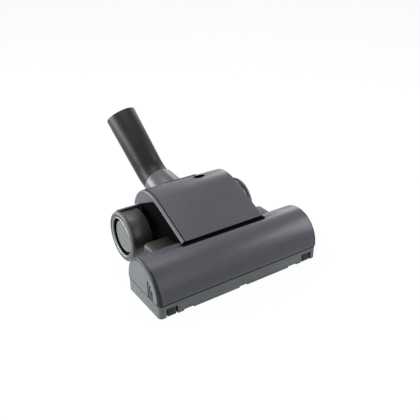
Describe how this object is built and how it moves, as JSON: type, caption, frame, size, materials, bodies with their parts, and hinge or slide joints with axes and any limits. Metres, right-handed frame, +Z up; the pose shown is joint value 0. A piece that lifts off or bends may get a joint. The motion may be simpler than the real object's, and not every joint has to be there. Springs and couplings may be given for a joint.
{
  "type": "vacuum turbo brush",
  "caption": "Air-driven turbo brush for a vacuum cleaner, with a barrel hood, belt-driven brush roll, hinged turbine lid, wide rear wheels and a swivelling pipe on a tilting neck.",
  "frame": {"origin": "on the floor under the centre of the whole object's box", "axes": "+X to the right across the brush, +Y from the hood's front towards the pipe, +Z up from the floor"},
  "size_m": [0.25, 0.3215, 0.1653],
  "materials": {
    "shell_grey": "satin",
    "base_grey": "satin",
    "inner_black": "satin",
    "wheel_black": "gloss",
    "tyre_grey": "matt",
    "cap_grey": "satin",
    "trim_silver": "satin",
    "steel": "satin",
    "rubber_black": "matt",
    "bristle_black": "stiff nylon bristle",
    "turbine_white": "satin",
    "bush_bronze": "satin",
    "pipe_grey": "gloss"
  },
  "bodies": {
    "body": {"front_hood": "shell_grey", "gap_strip": "rubber_black", "sole_frame": "base_grey", "turbine_housing": "inner_black", "neck_seal": "rubber_black", "bottom_tray": "base_grey", "tray_screw_1": "steel", "tray_screw_2": "steel", "tray_screw_3": "steel", "tray_screw_4": "steel", "drive_belt": "rubber_black", "axle_left": "steel", "axle_right": "steel", "wheel_guard_left": "shell_grey", "wheel_guard_right": "shell_grey", "shoulder_left": "shell_grey", "shoulder_right": "shell_grey", "lid_hinge_pin_left": "steel", "lid_hinge_pin_right": "steel", "turbine_bearing_left": "bush_bronze", "turbine_bearing_right": "bush_bronze", "brush_bush_left": "bush_bronze", "brush_bush_right": "bush_bronze", "roller_pin_left": "steel", "roller_pin_right": "steel", "roller_carrier_left": "shell_grey", "roller_carrier_right": "shell_grey"},
    "brush_roll": {"brush_core": "inner_black", "brush_pulley": "steel", "bristle_row_1_left": "bristle_black", "bristle_row_1_right": "bristle_black", "bristle_row_2_left": "bristle_black", "bristle_row_2_right": "bristle_black"},
    "turbine": {"turbine_wheel": "turbine_white", "turbine_shaft": "steel", "turbine_pinion": "bush_bronze"},
    "lid": {"turbine_lid": "shell_grey"},
    "neck": {"neck_tube": "shell_grey", "swivel_seal": "rubber_black"},
    "pipe": {"swivel_pipe": "pipe_grey"},
    "wheel_left_body": {"wheel_left": "wheel_black", "tyre_left": "tyre_grey", "hub_trim_left": "trim_silver", "hub_cap_left": "cap_grey"},
    "wheel_right_body": {"wheel_right": "wheel_black", "tyre_right": "tyre_grey", "hub_trim_right": "trim_silver", "hub_cap_right": "cap_grey"},
    "roller_left_body": {"front_roller_left": "tyre_grey"},
    "roller_right_body": {"front_roller_right": "tyre_grey"}
  },
  "joints": [
    {"name": "brush_spin", "type": "hinge", "parent": "body", "child": "brush_roll", "pos_m": [0, -0.12378, 0.0246], "axis": [1, 0, 0], "continuous": true},
    {"name": "turbine_spin", "type": "hinge", "parent": "body", "child": "turbine", "pos_m": [0, -0.06278, 0.053], "axis": [1, 0, 0], "continuous": true},
    {"name": "lid_open", "type": "hinge", "parent": "body", "child": "lid", "pos_m": [0, 0.01557, 0.05937], "axis": [-1, 0, 0], "range_deg": [0, 48]},
    {"name": "neck_tilt", "type": "hinge", "parent": "body", "child": "neck", "pos_m": [0, -0.01078, 0.0484], "axis": [1, 0, 0], "range_deg": [-23, 9]},
    {"name": "pipe_swivel", "type": "hinge", "parent": "neck", "child": "pipe", "pos_m": [0, 0.05846, 0.06541], "axis": [0, 0.9711, 0.2385], "range_deg": [-71.2, 98.8]},
    {"name": "wheel_left_roll", "type": "hinge", "parent": "body", "child": "wheel_left_body", "pos_m": [-0.1004, -0.01358, 0.0356], "axis": [1, 0, 0], "continuous": true},
    {"name": "wheel_right_roll", "type": "hinge", "parent": "body", "child": "wheel_right_body", "pos_m": [0.1004, -0.01358, 0.0356], "axis": [1, 0, 0], "continuous": true},
    {"name": "roller_left_roll", "type": "hinge", "parent": "body", "child": "roller_left_body", "pos_m": [-0.107, -0.15338, 0.0044], "axis": [1, 0, 0], "continuous": true},
    {"name": "roller_right_roll", "type": "hinge", "parent": "body", "child": "roller_right_body", "pos_m": [0.107, -0.15338, 0.0044], "axis": [1, 0, 0], "continuous": true}
  ],
  "couplings": [
    {"joint": "turbine_spin", "follows": "brush_spin", "ratio": 2.7273}
  ]
}
